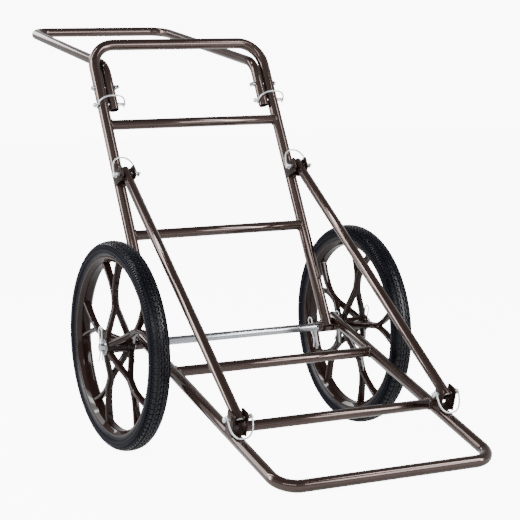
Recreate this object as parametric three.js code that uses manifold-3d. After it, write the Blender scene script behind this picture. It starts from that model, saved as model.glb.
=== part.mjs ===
// Folding two-wheeled game cart with tubular steel frames.
//
// Millimetres, +Z up, floor at Z = 0. X runs along the axle, the front bar of the bed points
// towards -Y and the pull handle towards +Y. The back frame and the bed both turn on the axle,
// two braces hold them apart, and wire lock pins hold every quick-release joint.
import * as THREE from 'three';
import { mergeVertices } from 'three/addons/utils/BufferGeometryUtils.js';
import Module from 'manifold-3d';

const wasm = await Module();
wasm.setup();

// ---------------------------------------------------------------- driving dimensions
const GAP = 0.3; // clearance between neighbouring pieces
const SIDES = [['left', -1], ['right', 1]];

const AXLE_HEIGHT = 254;
const AXLE_FORWARD = 55.6; // from the middle of the overall length to the axle
const AXLE_RADIUS = 10;
const AXLE_HALF_LENGTH = 377;
const SLEEVE_RADIUS = 14.5;
const SLEEVE_BORE = AXLE_RADIUS + GAP;

const FRAME_RADIUS = 14; // main tubes of the back frame and the bed
const FRAME_WALL = 1.5;
const BED_WALL = 2;
const CROSS_RADIUS = 12.5; // cross tubes, braces and handle
const CROSS_WALL = 1.5;
const HANDLE_WALL = 1.2;
const TUBE_OFFSET = 18; // main tubes pass this far beside the axle centre

const BACK_LEAN = THREE.MathUtils.degToRad(23.8);
const BACK_HALF_WIDTH = 242.5;
const BACK_LENGTH = 793;
const BACK_BEND = 64;
const LEG_FOOT = -6;
const BACK_CROSS_STATIONS = { lower: 272, upper: 570.5 };

const BED_HALF_WIDTH = 271.2;
const BED_LENGTH = 741;
const BED_BEND = 50;
const BED_TAIL = 16;
const BED_CROSS_STATIONS = { rear: 191, front: 472.5 };
// The bed slopes down until its front bar rests on the floor.
const BED_TILT = Math.asin((AXLE_HEIGHT - FRAME_RADIUS) / Math.hypot(BED_LENGTH, TUBE_OFFSET))
  + Math.atan2(TUBE_OFFSET, BED_LENGTH);

const HANDLE_HALF_WIDTH = 213.7;
const HANDLE_GRIP_HALF_WIDTH = 201;
const HANDLE_FOOT = 611;
const HANDLE_BEND_STATION = 736;
const HANDLE_BEND = 62;
const HANDLE_GRIP_BEND = 48;
const HANDLE_ARM_LENGTH = 545;
const HANDLE_ARM_RISE = THREE.MathUtils.degToRad(11.7); // above the horizontal

const BOLT_STATION = 674;
const BOLT_RADIUS = 3;
const LOCK_STATION = 627;
const PIN_RADIUS = 4;
const HOLE_RADIUS = PIN_RADIUS + GAP;
const WIRE_RADIUS = 2; // spring wire of the lock pins
const CLIP_RADIUS = 1.5; // wire of the hairpin clips

const BRACKET = { stand: 50, inner: 15, plate: 4, web: 3.5, halfLength: 16.5, corner: 6 };
const BACK_BRACKET_STATION = 417;
const BED_BRACKET_STATION = 518;
const BRACE_UPPER_X = 243.4;
const BRACE_LOWER_X = 270.3;
const BRACE_HEAD = 14; // tube beyond the upper pin
const BRACE_FOOT = 9; // tube beyond the lower pin
const BRACE_HOLE_RADIUS = 4.9;

const WHEEL_X = 328;
const TYRE_RADIUS = 254;
const TYRE_SEAT = 219;
const RIM_RADIUS = TYRE_SEAT - GAP;
const RIM_INNER = 204;
const SPOKES = 5;
const SPOKE_PHASE = { left: THREE.MathUtils.degToRad(94), right: THREE.MathUtils.degToRad(74) };
const HUB_HALF = 35.5;
const BUSH_RADIUS = 13;

// Lock pins along X: where the wire meets the pin on either side of its centre, the wire's height
// above the pin and the way it has swung.
const HANDLE_LOCK = { from: -31, to: 42, height: 34, swing: THREE.MathUtils.degToRad(62), hooked: false };
const UPPER_LOCK = { from: -28, to: 32, height: 52, swing: THREE.MathUtils.degToRad(-10), hooked: true };
const LOWER_LOCK = { from: -28, to: 32, height: 46.5, swing: THREE.MathUtils.degToRad(143), hooked: true };

// Hairpin clips through the axle: station along it, and for each side how high the eye stands
// above the axle and how far the clip has turned from upright.
const AXLE_CLIPS = [
  { which: 'inner', x: 213, left: { eye: 26, lean: 0 }, right: { eye: 21, lean: -27 } },
  { which: 'hub', x: 288, left: { eye: 26, lean: 0 }, right: { eye: 26, lean: 0 } },
  { which: 'outer', x: 370, left: { eye: 40, lean: 0 }, right: { eye: 35, lean: 20 } },
];

// ---------------------------------------------------------------- materials
const paint = { color: 0x4a3a34, roughness: 0.3, metalness: 0.45 };
const bracketPaint = { color: 0x352b27, roughness: 0.4, metalness: 0.4 };
const rimPlastic = { color: 0x3f2f29, roughness: 0.32, metalness: 0.2 };
const rubber = { color: 0x23252a, roughness: 0.85, metalness: 0 };
const zinc = { color: 0xc4c9cf, roughness: 0.28, metalness: 0.95 };
const bushPlastic = { color: 0x1d1d1f, roughness: 0.6, metalness: 0 };

// ---------------------------------------------------------------- helpers
const vec = (x, y, z) => new THREE.Vector3(x, y, z);

function piece(parent, name, geometry, look) {
  const mesh = new THREE.Mesh(geometry, new THREE.MeshStandardMaterial(look));
  mesh.name = name;
  parent.add(mesh);
  return mesh;
}

function frameGroup(parent, name, tilt) {
  const group = new THREE.Group();
  group.name = name;
  group.position.set(0, 0, AXLE_HEIGHT);
  group.rotation.x = tilt;
  parent.add(group);
  return group;
}

function toSolid(geometry) {
  const bare = new THREE.BufferGeometry();
  bare.setAttribute('position', geometry.attributes.position);
  if (geometry.index) {
    bare.setIndex(geometry.index);
  }
  const welded = mergeVertices(bare, 1e-4);
  return new wasm.Manifold(new wasm.Mesh({
    numProp: 3,
    vertProperties: new Float32Array(welded.attributes.position.array),
    triVerts: new Uint32Array(welded.index.array),
  }));
}

function toGeometry(solid) {
  const mesh = solid.getMesh();
  const geometry = new THREE.BufferGeometry();
  geometry.setAttribute('position', new THREE.BufferAttribute(new Float32Array(mesh.vertProperties), 3));
  geometry.setIndex(new THREE.BufferAttribute(new Uint32Array(mesh.triVerts), 1));
  return geometry;
}

function cut(geometry, cutters) {
  const tools = cutters.map(toSolid);
  return toGeometry(tools.reduce((solid, tool) => solid.subtract(tool), toSolid(geometry)));
}

function join(geometries) {
  return toGeometry(geometries.map(toSolid).reduce((all, solid) => all.add(solid)));
}

function overlap(geometry, other) {
  return toGeometry(toSolid(geometry).intersect(toSolid(other)));
}

// A path whose stations are exactly the points it is given.
class StationPath extends THREE.Curve {
  constructor(points) {
    super();
    this.points = points;
  }

  getPoint(t, target = new THREE.Vector3()) {
    const along = t * (this.points.length - 1);
    const index = Math.min(Math.floor(along), this.points.length - 2);
    return target.lerpVectors(this.points[index], this.points[index + 1], along - index);
  }

  getPointAt(u, target) {
    return this.getPoint(u, target);
  }

  getTangentAt(u, target = new THREE.Vector3()) {
    const last = this.points.length - 1;
    const index = Math.round(u * last);
    const before = this.points[Math.max(index - 1, 0)];
    const here = this.points[index];
    const after = this.points[Math.min(index + 1, last)];
    const arriving = here.clone().sub(before).normalize();
    const leaving = after.clone().sub(here).normalize();
    return target.copy(arriving).add(leaving).normalize();
  }
}

function circlePoints(radius, count) {
  return Array.from({ length: count }, (_, i) => {
    const angle = (2 * Math.PI * i) / count;
    return new THREE.Vector2(radius * Math.cos(angle), radius * Math.sin(angle));
  });
}

function sweep(points, radius, { wall = 0, facets = 20 } = {}) {
  const section = new THREE.Shape(circlePoints(radius, facets));
  if (wall > 0) {
    section.holes.push(new THREE.Path(circlePoints(radius - wall, Math.round(facets * 0.6)).reverse()));
  }
  return new THREE.ExtrudeGeometry(section, {
    steps: points.length - 1,
    extrudePath: new StationPath(points),
  });
}

// A path through corners, each rounded to its own bend radius.
function bentPath(corners, bends, steps = 6) {
  const points = [corners[0]];
  bends.forEach((bend, i) => {
    const arriving = corners[i + 1].clone().sub(corners[i]).normalize();
    const leaving = corners[i + 2].clone().sub(corners[i + 1]).normalize();
    const turn = arriving.angleTo(leaving);
    const axis = arriving.clone().cross(leaving).normalize();
    const start = corners[i + 1].clone().addScaledVector(arriving, -bend * Math.tan(turn / 2));
    const inward = axis.clone().cross(arriving).multiplyScalar(bend);
    const centre = start.clone().add(inward);
    for (let k = 0; k <= steps; k += 1) {
      const arm = inward.clone().negate().applyAxisAngle(axis, (turn * k) / steps);
      points.push(centre.clone().add(arm));
    }
  });
  points.push(corners[corners.length - 1]);
  return points;
}

// A round bar or tube along X.
function barX(from, to, radius, { y = 0, z = 0, wall = 0, facets = 20 } = {}) {
  return sweep([vec(from, y, z), vec(to, y, z)], radius, { wall, facets });
}

function box(width, depth, height, x = 0, y = 0, z = 0) {
  return new THREE.BoxGeometry(width, depth, height).translate(x, y, z);
}

// A flat outline in the YZ plane, extruded symmetrically along X.
function plateX(outline, width) {
  const shape = new THREE.Shape(outline.map(([y, z]) => new THREE.Vector2(y, z)));
  const plate = new THREE.ExtrudeGeometry(shape, { depth: width, bevelEnabled: false });
  plate.translate(0, 0, -width / 2);
  const turn = new THREE.Matrix4().makeBasis(vec(0, 1, 0), vec(0, 0, 1), vec(1, 0, 0));
  return plate.applyMatrix4(turn);
}

// A flat outline in the XZ plane, extruded symmetrically along Y.
function extrudeY(outline, depth) {
  const shape = new THREE.Shape(outline.map(([x, z]) => new THREE.Vector2(x, z)));
  const block = new THREE.ExtrudeGeometry(shape, { depth, bevelEnabled: false });
  return block.translate(0, 0, -depth / 2).rotateX(Math.PI / 2);
}

// A turned piece about X from an outline of [x, radius] pairs.
function turnX(outline, segments) {
  const closed = [...outline, outline[0]].map(([x, r]) => new THREE.Vector2(r, x));
  return new THREE.LatheGeometry(closed, segments).rotateZ(-Math.PI / 2);
}

// ---------------------------------------------------------------- frames
// The cross holes through a leg and the handle beside it: one for the pivot bolt, one for the lock pin.
function legDrills(reach) {
  return [
    barX(-reach, reach, BOLT_RADIUS + GAP, { y: -TUBE_OFFSET, z: BOLT_STATION, facets: 12 }),
    barX(-reach, reach, HOLE_RADIUS, { y: -TUBE_OFFSET, z: LOCK_STATION, facets: 12 }),
  ];
}

function backFrame(parent) {
  const group = frameGroup(parent, 'back_frame', -BACK_LEAN);
  const legPath = (side) => [
    vec(side * BACK_HALF_WIDTH, -TUBE_OFFSET, LEG_FOOT),
    vec(side * BACK_HALF_WIDTH, -TUBE_OFFSET, BACK_LENGTH),
  ];
  const sleeveTool = barX(-BED_HALF_WIDTH, BED_HALF_WIDTH, SLEEVE_RADIUS + GAP, { facets: 28 });
  const holeTools = legDrills(BED_HALF_WIDTH);
  const hoop = bentPath([...legPath(-1), ...legPath(1).reverse()], [BACK_BEND, BACK_BEND]);
  const hoopTube = sweep(hoop, FRAME_RADIUS, { wall: FRAME_WALL, facets: 20 });
  piece(group, 'back_frame_tube', cut(hoopTube, [sleeveTool, ...holeTools]), paint);

  const legTools = SIDES.map(([, side]) => sweep(legPath(side), FRAME_RADIUS + GAP, { facets: 20 }));
  Object.entries(BACK_CROSS_STATIONS).forEach(([which, station]) => {
    const tube = barX(-BACK_HALF_WIDTH + 4, BACK_HALF_WIDTH - 4, CROSS_RADIUS, {
      y: -TUBE_OFFSET, z: station, wall: CROSS_WALL,
    });
    piece(group, `back_${which}_cross_tube`, cut(tube, legTools), paint);
  });

  SIDES.forEach(([name, side]) => {
    const sleeve = barX(227 * side, 256.9 * side, SLEEVE_RADIUS, {
      wall: SLEEVE_RADIUS - SLEEVE_BORE, facets: 28,
    });
    piece(group, `back_sleeve_${name}`, sleeve, paint);
    const bracket = piece(group, `back_bracket_${name}`, bracketGeometry(), bracketPaint);
    bracket.position.set(side * BACK_HALF_WIDTH, -TUBE_OFFSET, BACK_BRACKET_STATION);
    bracket.rotation.x = Math.PI / 2;
  });
  return group;
}

function bed(parent) {
  const group = frameGroup(parent, 'bed', BED_TILT);
  const sidePath = (side) => [
    vec(side * BED_HALF_WIDTH, BED_TAIL, TUBE_OFFSET),
    vec(side * BED_HALF_WIDTH, -BED_LENGTH, TUBE_OFFSET),
  ];
  const sleeveTool = barX(-2 * BED_HALF_WIDTH, 2 * BED_HALF_WIDTH, SLEEVE_RADIUS + GAP, { facets: 28 });
  const hoop = bentPath([...sidePath(-1), ...sidePath(1).reverse()], [BED_BEND, BED_BEND]);
  const hoopTube = sweep(hoop, FRAME_RADIUS, { wall: BED_WALL, facets: 20 });
  piece(group, 'bed_frame_tube', cut(hoopTube, [sleeveTool]), paint);

  const sideTools = SIDES.map(([, side]) => sweep(sidePath(side), FRAME_RADIUS + GAP, { facets: 20 }));
  Object.entries(BED_CROSS_STATIONS).forEach(([which, station]) => {
    const tube = barX(-BED_HALF_WIDTH + 4, BED_HALF_WIDTH - 4, CROSS_RADIUS, {
      y: -station, z: TUBE_OFFSET, wall: CROSS_WALL,
    });
    piece(group, `bed_${which}_cross_tube`, cut(tube, sideTools), paint);
  });

  SIDES.forEach(([name, side]) => {
    const sleeve = barX(257.4 * side, 284.8 * side, SLEEVE_RADIUS, {
      wall: SLEEVE_RADIUS - SLEEVE_BORE, facets: 28,
    });
    piece(group, `bed_sleeve_${name}`, sleeve, paint);
    const bracket = piece(group, `bed_bracket_${name}`, bracketGeometry(), bracketPaint);
    bracket.position.set(side * BED_HALF_WIDTH, -BED_BRACKET_STATION, TUBE_OFFSET);
  });
  return group;
}

// A U bracket that straddles a main tube: local Z stands out from the tube, local Y runs along it.
function bracketGeometry() {
  const { stand, inner, plate, web, halfLength, corner } = BRACKET;
  const top = stand + 17;
  const ear = [
    [-halfLength, 12], [halfLength, 12], [halfLength, top - 1.5], [halfLength - 1.5, top],
    [corner - halfLength, top], [-halfLength, top - corner],
  ];
  const seat = FRAME_RADIUS + GAP;
  const throat = box(2 * inner, 80, 80, 0, 0, seat + web + 40);
  const saddle = box(2 * inner, 80, 80, 0, 0, seat - 40);
  const hole = barX(-40, 40, HOLE_RADIUS, { z: stand, facets: 14 });
  return cut(plateX(ear, 2 * (inner + plate)), [throat, saddle, hole]);
}

// ---------------------------------------------------------------- handle and its fasteners
function handle(group) {
  const rise = HANDLE_ARM_RISE + BACK_LEAN;
  const reach = HANDLE_ARM_LENGTH * Math.cos(rise);
  const lift = HANDLE_ARM_LENGTH * Math.sin(rise);
  const half = (side) => [
    vec(side * HANDLE_HALF_WIDTH, -TUBE_OFFSET, HANDLE_FOOT),
    vec(side * HANDLE_HALF_WIDTH, -TUBE_OFFSET, HANDLE_BEND_STATION),
    vec(side * HANDLE_GRIP_HALF_WIDTH, -TUBE_OFFSET + reach, HANDLE_BEND_STATION + lift),
  ];
  const bends = [HANDLE_BEND, HANDLE_GRIP_BEND, HANDLE_GRIP_BEND, HANDLE_BEND];
  const path = bentPath([...half(-1), ...half(1).reverse()], bends);
  const tube = sweep(path, CROSS_RADIUS, { wall: HANDLE_WALL, facets: 16 });
  const span = 2 * HANDLE_HALF_WIDTH + 60;
  // Open at the rear, so the handle can swing off the lock pins.
  const slot = box(span, 24, 11, 0, -TUBE_OFFSET + 12, LOCK_STATION + 0.9);
  piece(group, 'handle_tube', cut(tube, [...legDrills(span / 2), slot]), paint);
}

function hexPrismX(acrossFlats, from, to) {
  const radius = acrossFlats / Math.sqrt(3);
  return barX(from, to, radius, { facets: 6 });
}

function pivotBolt(group, name, side) {
  const outer = BACK_HALF_WIDTH + FRAME_RADIUS;
  const inner = HANDLE_HALF_WIDTH - CROSS_RADIUS;
  const place = (mesh) => mesh.position.set(0, -TUBE_OFFSET, BOLT_STATION);

  const head = hexPrismX(10, side * (outer + 2.1), side * (outer + 6.1));
  const shank = barX(side * (outer + 4), side * (inner - 14), BOLT_RADIUS, { facets: 16 });
  place(piece(group, `handle_bolt_${name}`, join([head, shank]), zinc));

  const ring = (from, to) => barX(side * from, side * to, 6.5, { wall: 6.5 - BOLT_RADIUS - GAP, facets: 20 });
  place(piece(group, `handle_washer_outer_${name}`, ring(outer + GAP, outer + 1.8), zinc));
  place(piece(group, `handle_washer_inner_${name}`, ring(inner - 1.8, inner - GAP), zinc));

  // Wing nut: a turned boss with two upswept wings.
  const boss = barX(side * (inner - 2.1), side * (inner - 9), 5.8, { facets: 20 });
  const wing = [[4, -2.6], [11, -3.4], [13.5, 0], [11, 3.4], [4, 2.6]];
  const wings = [1, -1].map((up) => {
    const plate = plateX(wing.map(([y, z]) => [up * y, up * z]), 2.6);
    return plate.translate(side * (inner - 7), 0, 0);
  });
  const bore = barX(side * (inner + 2), side * (inner - 16), BOLT_RADIUS + GAP, { facets: 16 });
  place(piece(group, `wing_nut_${name}`, cut(join([boss, ...wings]), [bore]), zinc));
}

// ---------------------------------------------------------------- wire lock pins
// A pin along X: its head stands clear of the clamped stack at -X, its taper beyond it at +X.
function lockPinGeometry({ from, to }) {
  const head = from - WIRE_RADIUS - 0.5;
  const tip = to + 7;
  const outline = [
    [head - 6, 0], [head - 6, 4.5], [head - 4.5, 6.5], [head - 1, 6.5], [head, 5.5], [head, PIN_RADIUS],
    [tip - 4, PIN_RADIUS], [tip - 1.5, 3], [tip, 2], [tip, 0],
  ];
  const profile = outline.map(([x, r]) => new THREE.Vector2(r, x));
  return new THREE.LatheGeometry(profile, 12).rotateZ(-Math.PI / 2);
}

// The spring wire of a lock pin: beside the pin at both ends, and over the stack in local +Z as a
// squared arch. A hooked wire wraps the far side of the pin, an open one leaves that side free.
function lockWireGeometry({ from, to, height, hooked }) {
  const beside = (hooked ? 1 : -1) * (PIN_RADIUS + WIRE_RADIUS + 0.5);
  const end = (x) => {
    if (!hooked) {
      return [vec(x, beside, -5)];
    }
    return Array.from({ length: 6 }, (_, i) => {
      const angle = Math.PI * (1 - i / 6);
      return vec(x, beside * Math.cos(angle), -beside * Math.sin(angle));
    });
  };
  const middle = (from + to) / 2;
  const half = (to - from) / 2;
  const squared = (value) => Math.sign(value) * Math.abs(value) ** 0.8;
  const steps = 16;
  const arch = Array.from({ length: steps + 1 }, (_, i) => {
    const angle = (Math.PI * i) / steps;
    return vec(middle - half * squared(Math.cos(angle)), beside, height * squared(Math.sin(angle)));
  });
  return sweep([...end(from), ...arch, ...end(to).reverse()], WIRE_RADIUS, { facets: 6 });
}

function lockPin(group, name, place, lock) {
  const pin = piece(group, `${name}_pin`, lockPinGeometry(lock), zinc);
  pin.position.copy(place);
  const wire = piece(group, `${name}_wire`, lockWireGeometry(lock), zinc);
  wire.position.copy(place);
  wire.rotation.x = lock.swing;
}

// ---------------------------------------------------------------- braces
function braces(parent, upperPins, lowerPins) {
  SIDES.forEach(([name, side], i) => {
    const top = upperPins[i].clone().setX(side * BRACE_UPPER_X);
    const bottom = lowerPins[i].clone().setX(side * BRACE_LOWER_X);
    const along = bottom.clone().sub(top);
    const length = along.length();
    along.normalize();
    const forward = vec(1, 0, 0).cross(along).negate().normalize();
    const across = forward.clone().cross(along).normalize();
    const group = new THREE.Group();
    group.name = `brace_${name}_frame`;
    group.applyMatrix4(new THREE.Matrix4().makeBasis(across, forward, along).setPosition(top));
    parent.add(group);
    const ends = [vec(0, 0, -BRACE_HEAD), vec(0, 0, length + BRACE_FOOT)];
    const tube = sweep(ends, CROSS_RADIUS, { wall: CROSS_WALL });
    const holes = [0, length].map((z) => barX(-30, 30, BRACE_HOLE_RADIUS, { z, facets: 14 }));
    // Open towards the underside, so the bed can swing clear of the brace as it folds.
    const slot = box(60, 20, 2 * BRACE_HOLE_RADIUS, 0, -10, 0);
    slot.rotateX(THREE.MathUtils.degToRad(25.6)).translate(0, 0, length);
    piece(group, `brace_${name}`, cut(tube, [...holes, slot]), paint);
  });
}

// ---------------------------------------------------------------- axle and its clips
// A hairpin cotter: a straight leg down through the axle, an eye on top and an outer leg that
// bulges round the axle, nips in below it and flares at its foot.
function hairpinGeometry(eyeHeight) {
  const eye = Array.from({ length: 9 }, (_, i) => {
    const angle = Math.PI * (1.15 - (1.3 * i) / 8);
    return vec(0, 8 + 8.5 * Math.cos(angle), eyeHeight + 8.5 * Math.sin(angle));
  });
  const foot = Math.min(eyeHeight - 66, -36);
  const outerLeg = [vec(0, 15, 9), vec(0, 16, 3), vec(0, 16, -3), vec(0, 14.5, -10), vec(0, 13.5, foot + 21),
    vec(0, 17, foot + 11), vec(0, 25, foot)];
  const straightLeg = [vec(0, 0, eyeHeight - 72), vec(0, 0, eyeHeight - 8)];
  return sweep([...straightLeg, ...eye, ...outerLeg], CLIP_RADIUS, { facets: 6 });
}

function axleGroup(parent) {
  const group = frameGroup(parent, 'axle_group', 0);
  const clips = AXLE_CLIPS.flatMap((clip) => SIDES.map(([name, side]) => ({
    name: `axle_clip_${clip.which}_${name}`,
    x: side * clip.x,
    eye: clip[name].eye,
    lean: THREE.MathUtils.degToRad(clip[name].lean),
  })));
  const drill = [vec(0, 0, -30), vec(0, 0, 30)];
  const holes = clips.map(({ x, lean }) => (
    sweep(drill, CLIP_RADIUS + GAP, { facets: 10 }).rotateX(lean).translate(x, 0, 0)
  ));
  const bar = turnX([
    [-AXLE_HALF_LENGTH, 0], [-AXLE_HALF_LENGTH, AXLE_RADIUS - 1], [-AXLE_HALF_LENGTH + 1, AXLE_RADIUS],
    [AXLE_HALF_LENGTH - 1, AXLE_RADIUS], [AXLE_HALF_LENGTH, AXLE_RADIUS - 1], [AXLE_HALF_LENGTH, 0],
  ], 28);
  piece(group, 'axle', cut(bar, holes), zinc);
  clips.forEach(({ name, x, eye, lean }) => {
    const clip = piece(group, name, hairpinGeometry(eye), zinc);
    clip.position.x = x;
    clip.rotation.x = lean;
  });
  const washers = [['inner', 290, 292, 19], ['outer', 364, 366.5, 20]];
  washers.forEach(([which, from, to, radius]) => SIDES.forEach(([name, side]) => {
    const ring = barX(side * from, side * to, radius, { wall: radius - SLEEVE_BORE, facets: 28 });
    piece(group, `wheel_washer_${which}_${name}`, ring, zinc);
  }));
  return group;
}

// ---------------------------------------------------------------- wheels
function rimGeometry(phase) {
  const barrel = turnX([
    [-19, RIM_RADIUS], [19, RIM_RADIUS], [19, 213], [16.5, 211], [11, RIM_INNER], [-11, RIM_INNER],
    [-16.5, 211], [-19, 213],
  ], 60);
  const hub = turnX([
    [-HUB_HALF, 0], [-HUB_HALF, 19], [-HUB_HALF + 2, 20], [-24, 20], [-18, 16], [18, 16], [24, 20],
    [HUB_HALF - 2, 20], [HUB_HALF, 19], [HUB_HALF, 0],
  ], 28);
  // Seen along the axle, each spoke forks into two prongs at the rim.
  const fork = [
    [-8, 92], [-8.5, 122], [-24, 156], [-41, 185], [-51, 204], [-38, 208], [-29, 188], [-13, 158], [0, 143],
    [13, 158], [29, 188], [38, 208], [51, 204], [41, 185], [24, 156], [8.5, 122], [8, 92],
  ];
  // Seen edge on, the prongs widen a little towards the rim.
  const flare = [
    [-8, 85], [8, 85], [8.5, 143], [10.5, 203], [10.5, 215], [-10.5, 215], [-10.5, 203], [-8.5, 143],
  ];
  // Seen edge on, each spoke parts into two legs that reach the ends of the hub.
  const legs = [
    [-34, 12], [-34, 21], [-22, 56], [-8, 92], [-7, 112], [7, 112], [8, 92], [22, 56], [34, 21], [34, 12],
    [22, 12], [10, 56], [0, 84], [-10, 56], [-22, 12],
  ];
  const spokes = Array.from({ length: SPOKES }, (_, i) => {
    const turn = phase - Math.PI / 2 + (2 * Math.PI * i) / SPOKES;
    const prongs = overlap(plateX(fork, 40), extrudeY(flare, 120));
    const forked = extrudeY(legs, 14);
    return [prongs, forked].map((part) => part.rotateX(-turn));
  });
  const wheel = join([barrel, hub, ...spokes.flat()]);
  return cut(wheel, [barX(-50, 50, BUSH_RADIUS + GAP, { facets: 24 })]);
}

function wheels(parent) {
  SIDES.forEach(([name, side]) => {
    const group = new THREE.Group();
    group.name = `wheel_${name}`;
    group.position.set(side * WHEEL_X, 0, AXLE_HEIGHT);
    parent.add(group);
    piece(group, `rim_${name}`, rimGeometry(SPOKE_PHASE[name]), rimPlastic);
    const bush = barX(-HUB_HALF, HUB_HALF, BUSH_RADIUS, { wall: BUSH_RADIUS - SLEEVE_BORE, facets: 24 });
    piece(group, `hub_bush_${name}`, bush, bushPlastic);
    const tyre = turnX([
      [-19, TYRE_SEAT], [-23.5, 224], [-26, 235], [-24.5, 244], [-18, 250.5], [-9, 253.3], [0, TYRE_RADIUS],
      [9, 253.3], [18, 250.5], [24.5, 244], [26, 235], [23.5, 224], [19, TYRE_SEAT],
    ], 64);
    piece(group, `tyre_${name}`, tyre, rubber);
  });
}

// ---------------------------------------------------------------- assembly
const cart = new THREE.Group();
cart.name = 'game_cart';

const back = backFrame(cart);
const bedGroup = bed(cart);
handle(back);
SIDES.forEach(([name, side]) => {
  pivotBolt(back, name, side);
  const across = side * (BACK_HALF_WIDTH + HANDLE_HALF_WIDTH) / 2;
  lockPin(back, `handle_lock_${name}`, vec(across, -TUBE_OFFSET, LOCK_STATION), HANDLE_LOCK);
});

const upperPins = SIDES.map(([, side]) => vec(
  side * BACK_HALF_WIDTH,
  -TUBE_OFFSET - BRACKET.stand,
  BACK_BRACKET_STATION,
));
const lowerPins = SIDES.map(([, side]) => vec(
  side * BED_HALF_WIDTH,
  -BED_BRACKET_STATION,
  TUBE_OFFSET + BRACKET.stand,
));
SIDES.forEach(([name], i) => {
  lockPin(back, `brace_upper_${name}`, upperPins[i], UPPER_LOCK);
  lockPin(bedGroup, `brace_lower_${name}`, lowerPins[i], LOWER_LOCK);
});

cart.updateMatrixWorld(true);
braces(
  cart,
  upperPins.map((pin) => back.localToWorld(pin.clone())),
  lowerPins.map((pin) => bedGroup.localToWorld(pin.clone())),
);
axleGroup(cart);
wheels(cart);

// The origin lies on the floor under the middle of the cart's overall length.
cart.position.y = -AXLE_FORWARD;

export default cart;
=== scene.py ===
"""Looks of the folding game cart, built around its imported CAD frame.

Lengths inside the helpers are millimetres in a part's own local frame (the back frame, the bed, a
brace, the axle or a wheel); each place matrix turns them into metres in the shared frame.
"""
import math

import bmesh
import bpy
from mathutils import Matrix, Vector


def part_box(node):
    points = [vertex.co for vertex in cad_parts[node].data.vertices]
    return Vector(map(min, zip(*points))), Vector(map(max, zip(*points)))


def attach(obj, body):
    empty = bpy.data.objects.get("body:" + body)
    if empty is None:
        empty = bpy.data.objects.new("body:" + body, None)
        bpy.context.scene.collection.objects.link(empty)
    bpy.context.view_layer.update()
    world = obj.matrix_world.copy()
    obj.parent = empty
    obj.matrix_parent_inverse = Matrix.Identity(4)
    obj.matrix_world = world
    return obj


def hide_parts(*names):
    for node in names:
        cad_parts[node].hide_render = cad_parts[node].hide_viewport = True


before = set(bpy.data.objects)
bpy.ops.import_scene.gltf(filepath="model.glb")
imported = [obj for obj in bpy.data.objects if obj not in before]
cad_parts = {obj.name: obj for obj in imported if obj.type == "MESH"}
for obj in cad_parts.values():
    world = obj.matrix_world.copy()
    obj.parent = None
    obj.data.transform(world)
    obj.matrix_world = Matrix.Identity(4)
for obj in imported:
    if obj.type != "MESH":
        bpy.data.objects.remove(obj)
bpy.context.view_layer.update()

# ---------------------------------------------------------------- dimensions, as in the CAD model
SIDES = (("left", -1), ("right", 1))
MM = Matrix.Scale(0.001, 4)
AXLE_LOW, AXLE_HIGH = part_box("axle")
AXLE = (AXLE_LOW + AXLE_HIGH) / 2
AXLE_RADIUS = 10
WHEEL_RADIUS = 254
SLEEVE_RADIUS = 14.5
SLEEVE_WALL = 4.2
FRAME_RADIUS = 14
CROSS_RADIUS = 12.5
CROSS_WALL = 1.5
CROSS_COPE = 9  # a cross tube stops this far short of the side tubes' centre lines
TUBE_OFFSET = 18  # the frames' tubes lie beside the axle's centre, not through it

BACK_LEAN = math.radians(23.8)
BACK_HALF_WIDTH = 242.5
BACK_LENGTH = 793
BACK_BEND = 64
BACK_WALL = 1.5
BACK_SLEEVE = (227, 256.9)  # its inner and outer end along the axle
LEG_FOOT = -6
BACK_CROSSES = {"lower": 272, "upper": 570.5}

BED_HALF_WIDTH = 271.2
BED_LENGTH = 741
BED_BEND = 50
BED_WALL = 2
BED_SLEEVE = (257.4, 284.8)
BED_TAIL = 16
BED_CROSSES = {"rear": 191, "front": 472.5}
BED_TILT = (math.asin((WHEEL_RADIUS - FRAME_RADIUS) / math.hypot(BED_LENGTH, TUBE_OFFSET))
            + math.atan2(TUBE_OFFSET, BED_LENGTH))

HANDLE_HALF_WIDTH = 213.7
GRIP_HALF_WIDTH = 201
HANDLE_FOOT = 611
HANDLE_BEND_STATION = 736
HANDLE_ARM = 545
HANDLE_RISE = math.radians(11.7)
HANDLE_BEND = 62
GRIP_BEND = 48
HANDLE_WALL = 1.2
BOLT_STATION = 674
LOCK_STATION = 627
PIN_RADIUS = 4
WIRE_RADIUS = 2
CLIP_RADIUS = 1.5

BRACKET_STAND = 50
BACK_BRACKET_STATION = 417
BED_BRACKET_STATION = 518
BRACE_UPPER_X = 243.4
BRACE_LOWER_X = 270.3
BRACE_HEAD = 14
BRACE_FOOT = 9
BRACE_WALL = 1.5

WELD_STAND = 0.6  # a weld bead's centre stands off the tube it runs round
CROSS_WELD_STEPS = 112
SLEEVE_WELD_STEPS = 60

WHEEL_X = 328
SPOKES = 5
SPOKE_PHASE = {"left": math.radians(94), "right": math.radians(74)}
HUB_HALF = 35.5
BUSH_RADIUS = 13
BUSH_WALL = 2.7

TREAD_PITCHES = 104
TREAD_DEPTH = 3.0
SIPE_DEPTH = 2.4
ZIGZAG = 2.3
GROOVES = 6
GROOVE_SPACING = 7.8

# Lock pins: where the wire meets the pin on either side of its centre, the wire's height, its swing.
HANDLE_LOCK = {"low": -31, "high": 42, "height": 34, "swing": math.radians(62), "hooked": False}
UPPER_LOCK = {"low": -28, "high": 32, "height": 52, "swing": math.radians(-10), "hooked": True}
LOWER_LOCK = {"low": -28, "high": 32, "height": 46.5, "swing": math.radians(143), "hooked": True}

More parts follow.
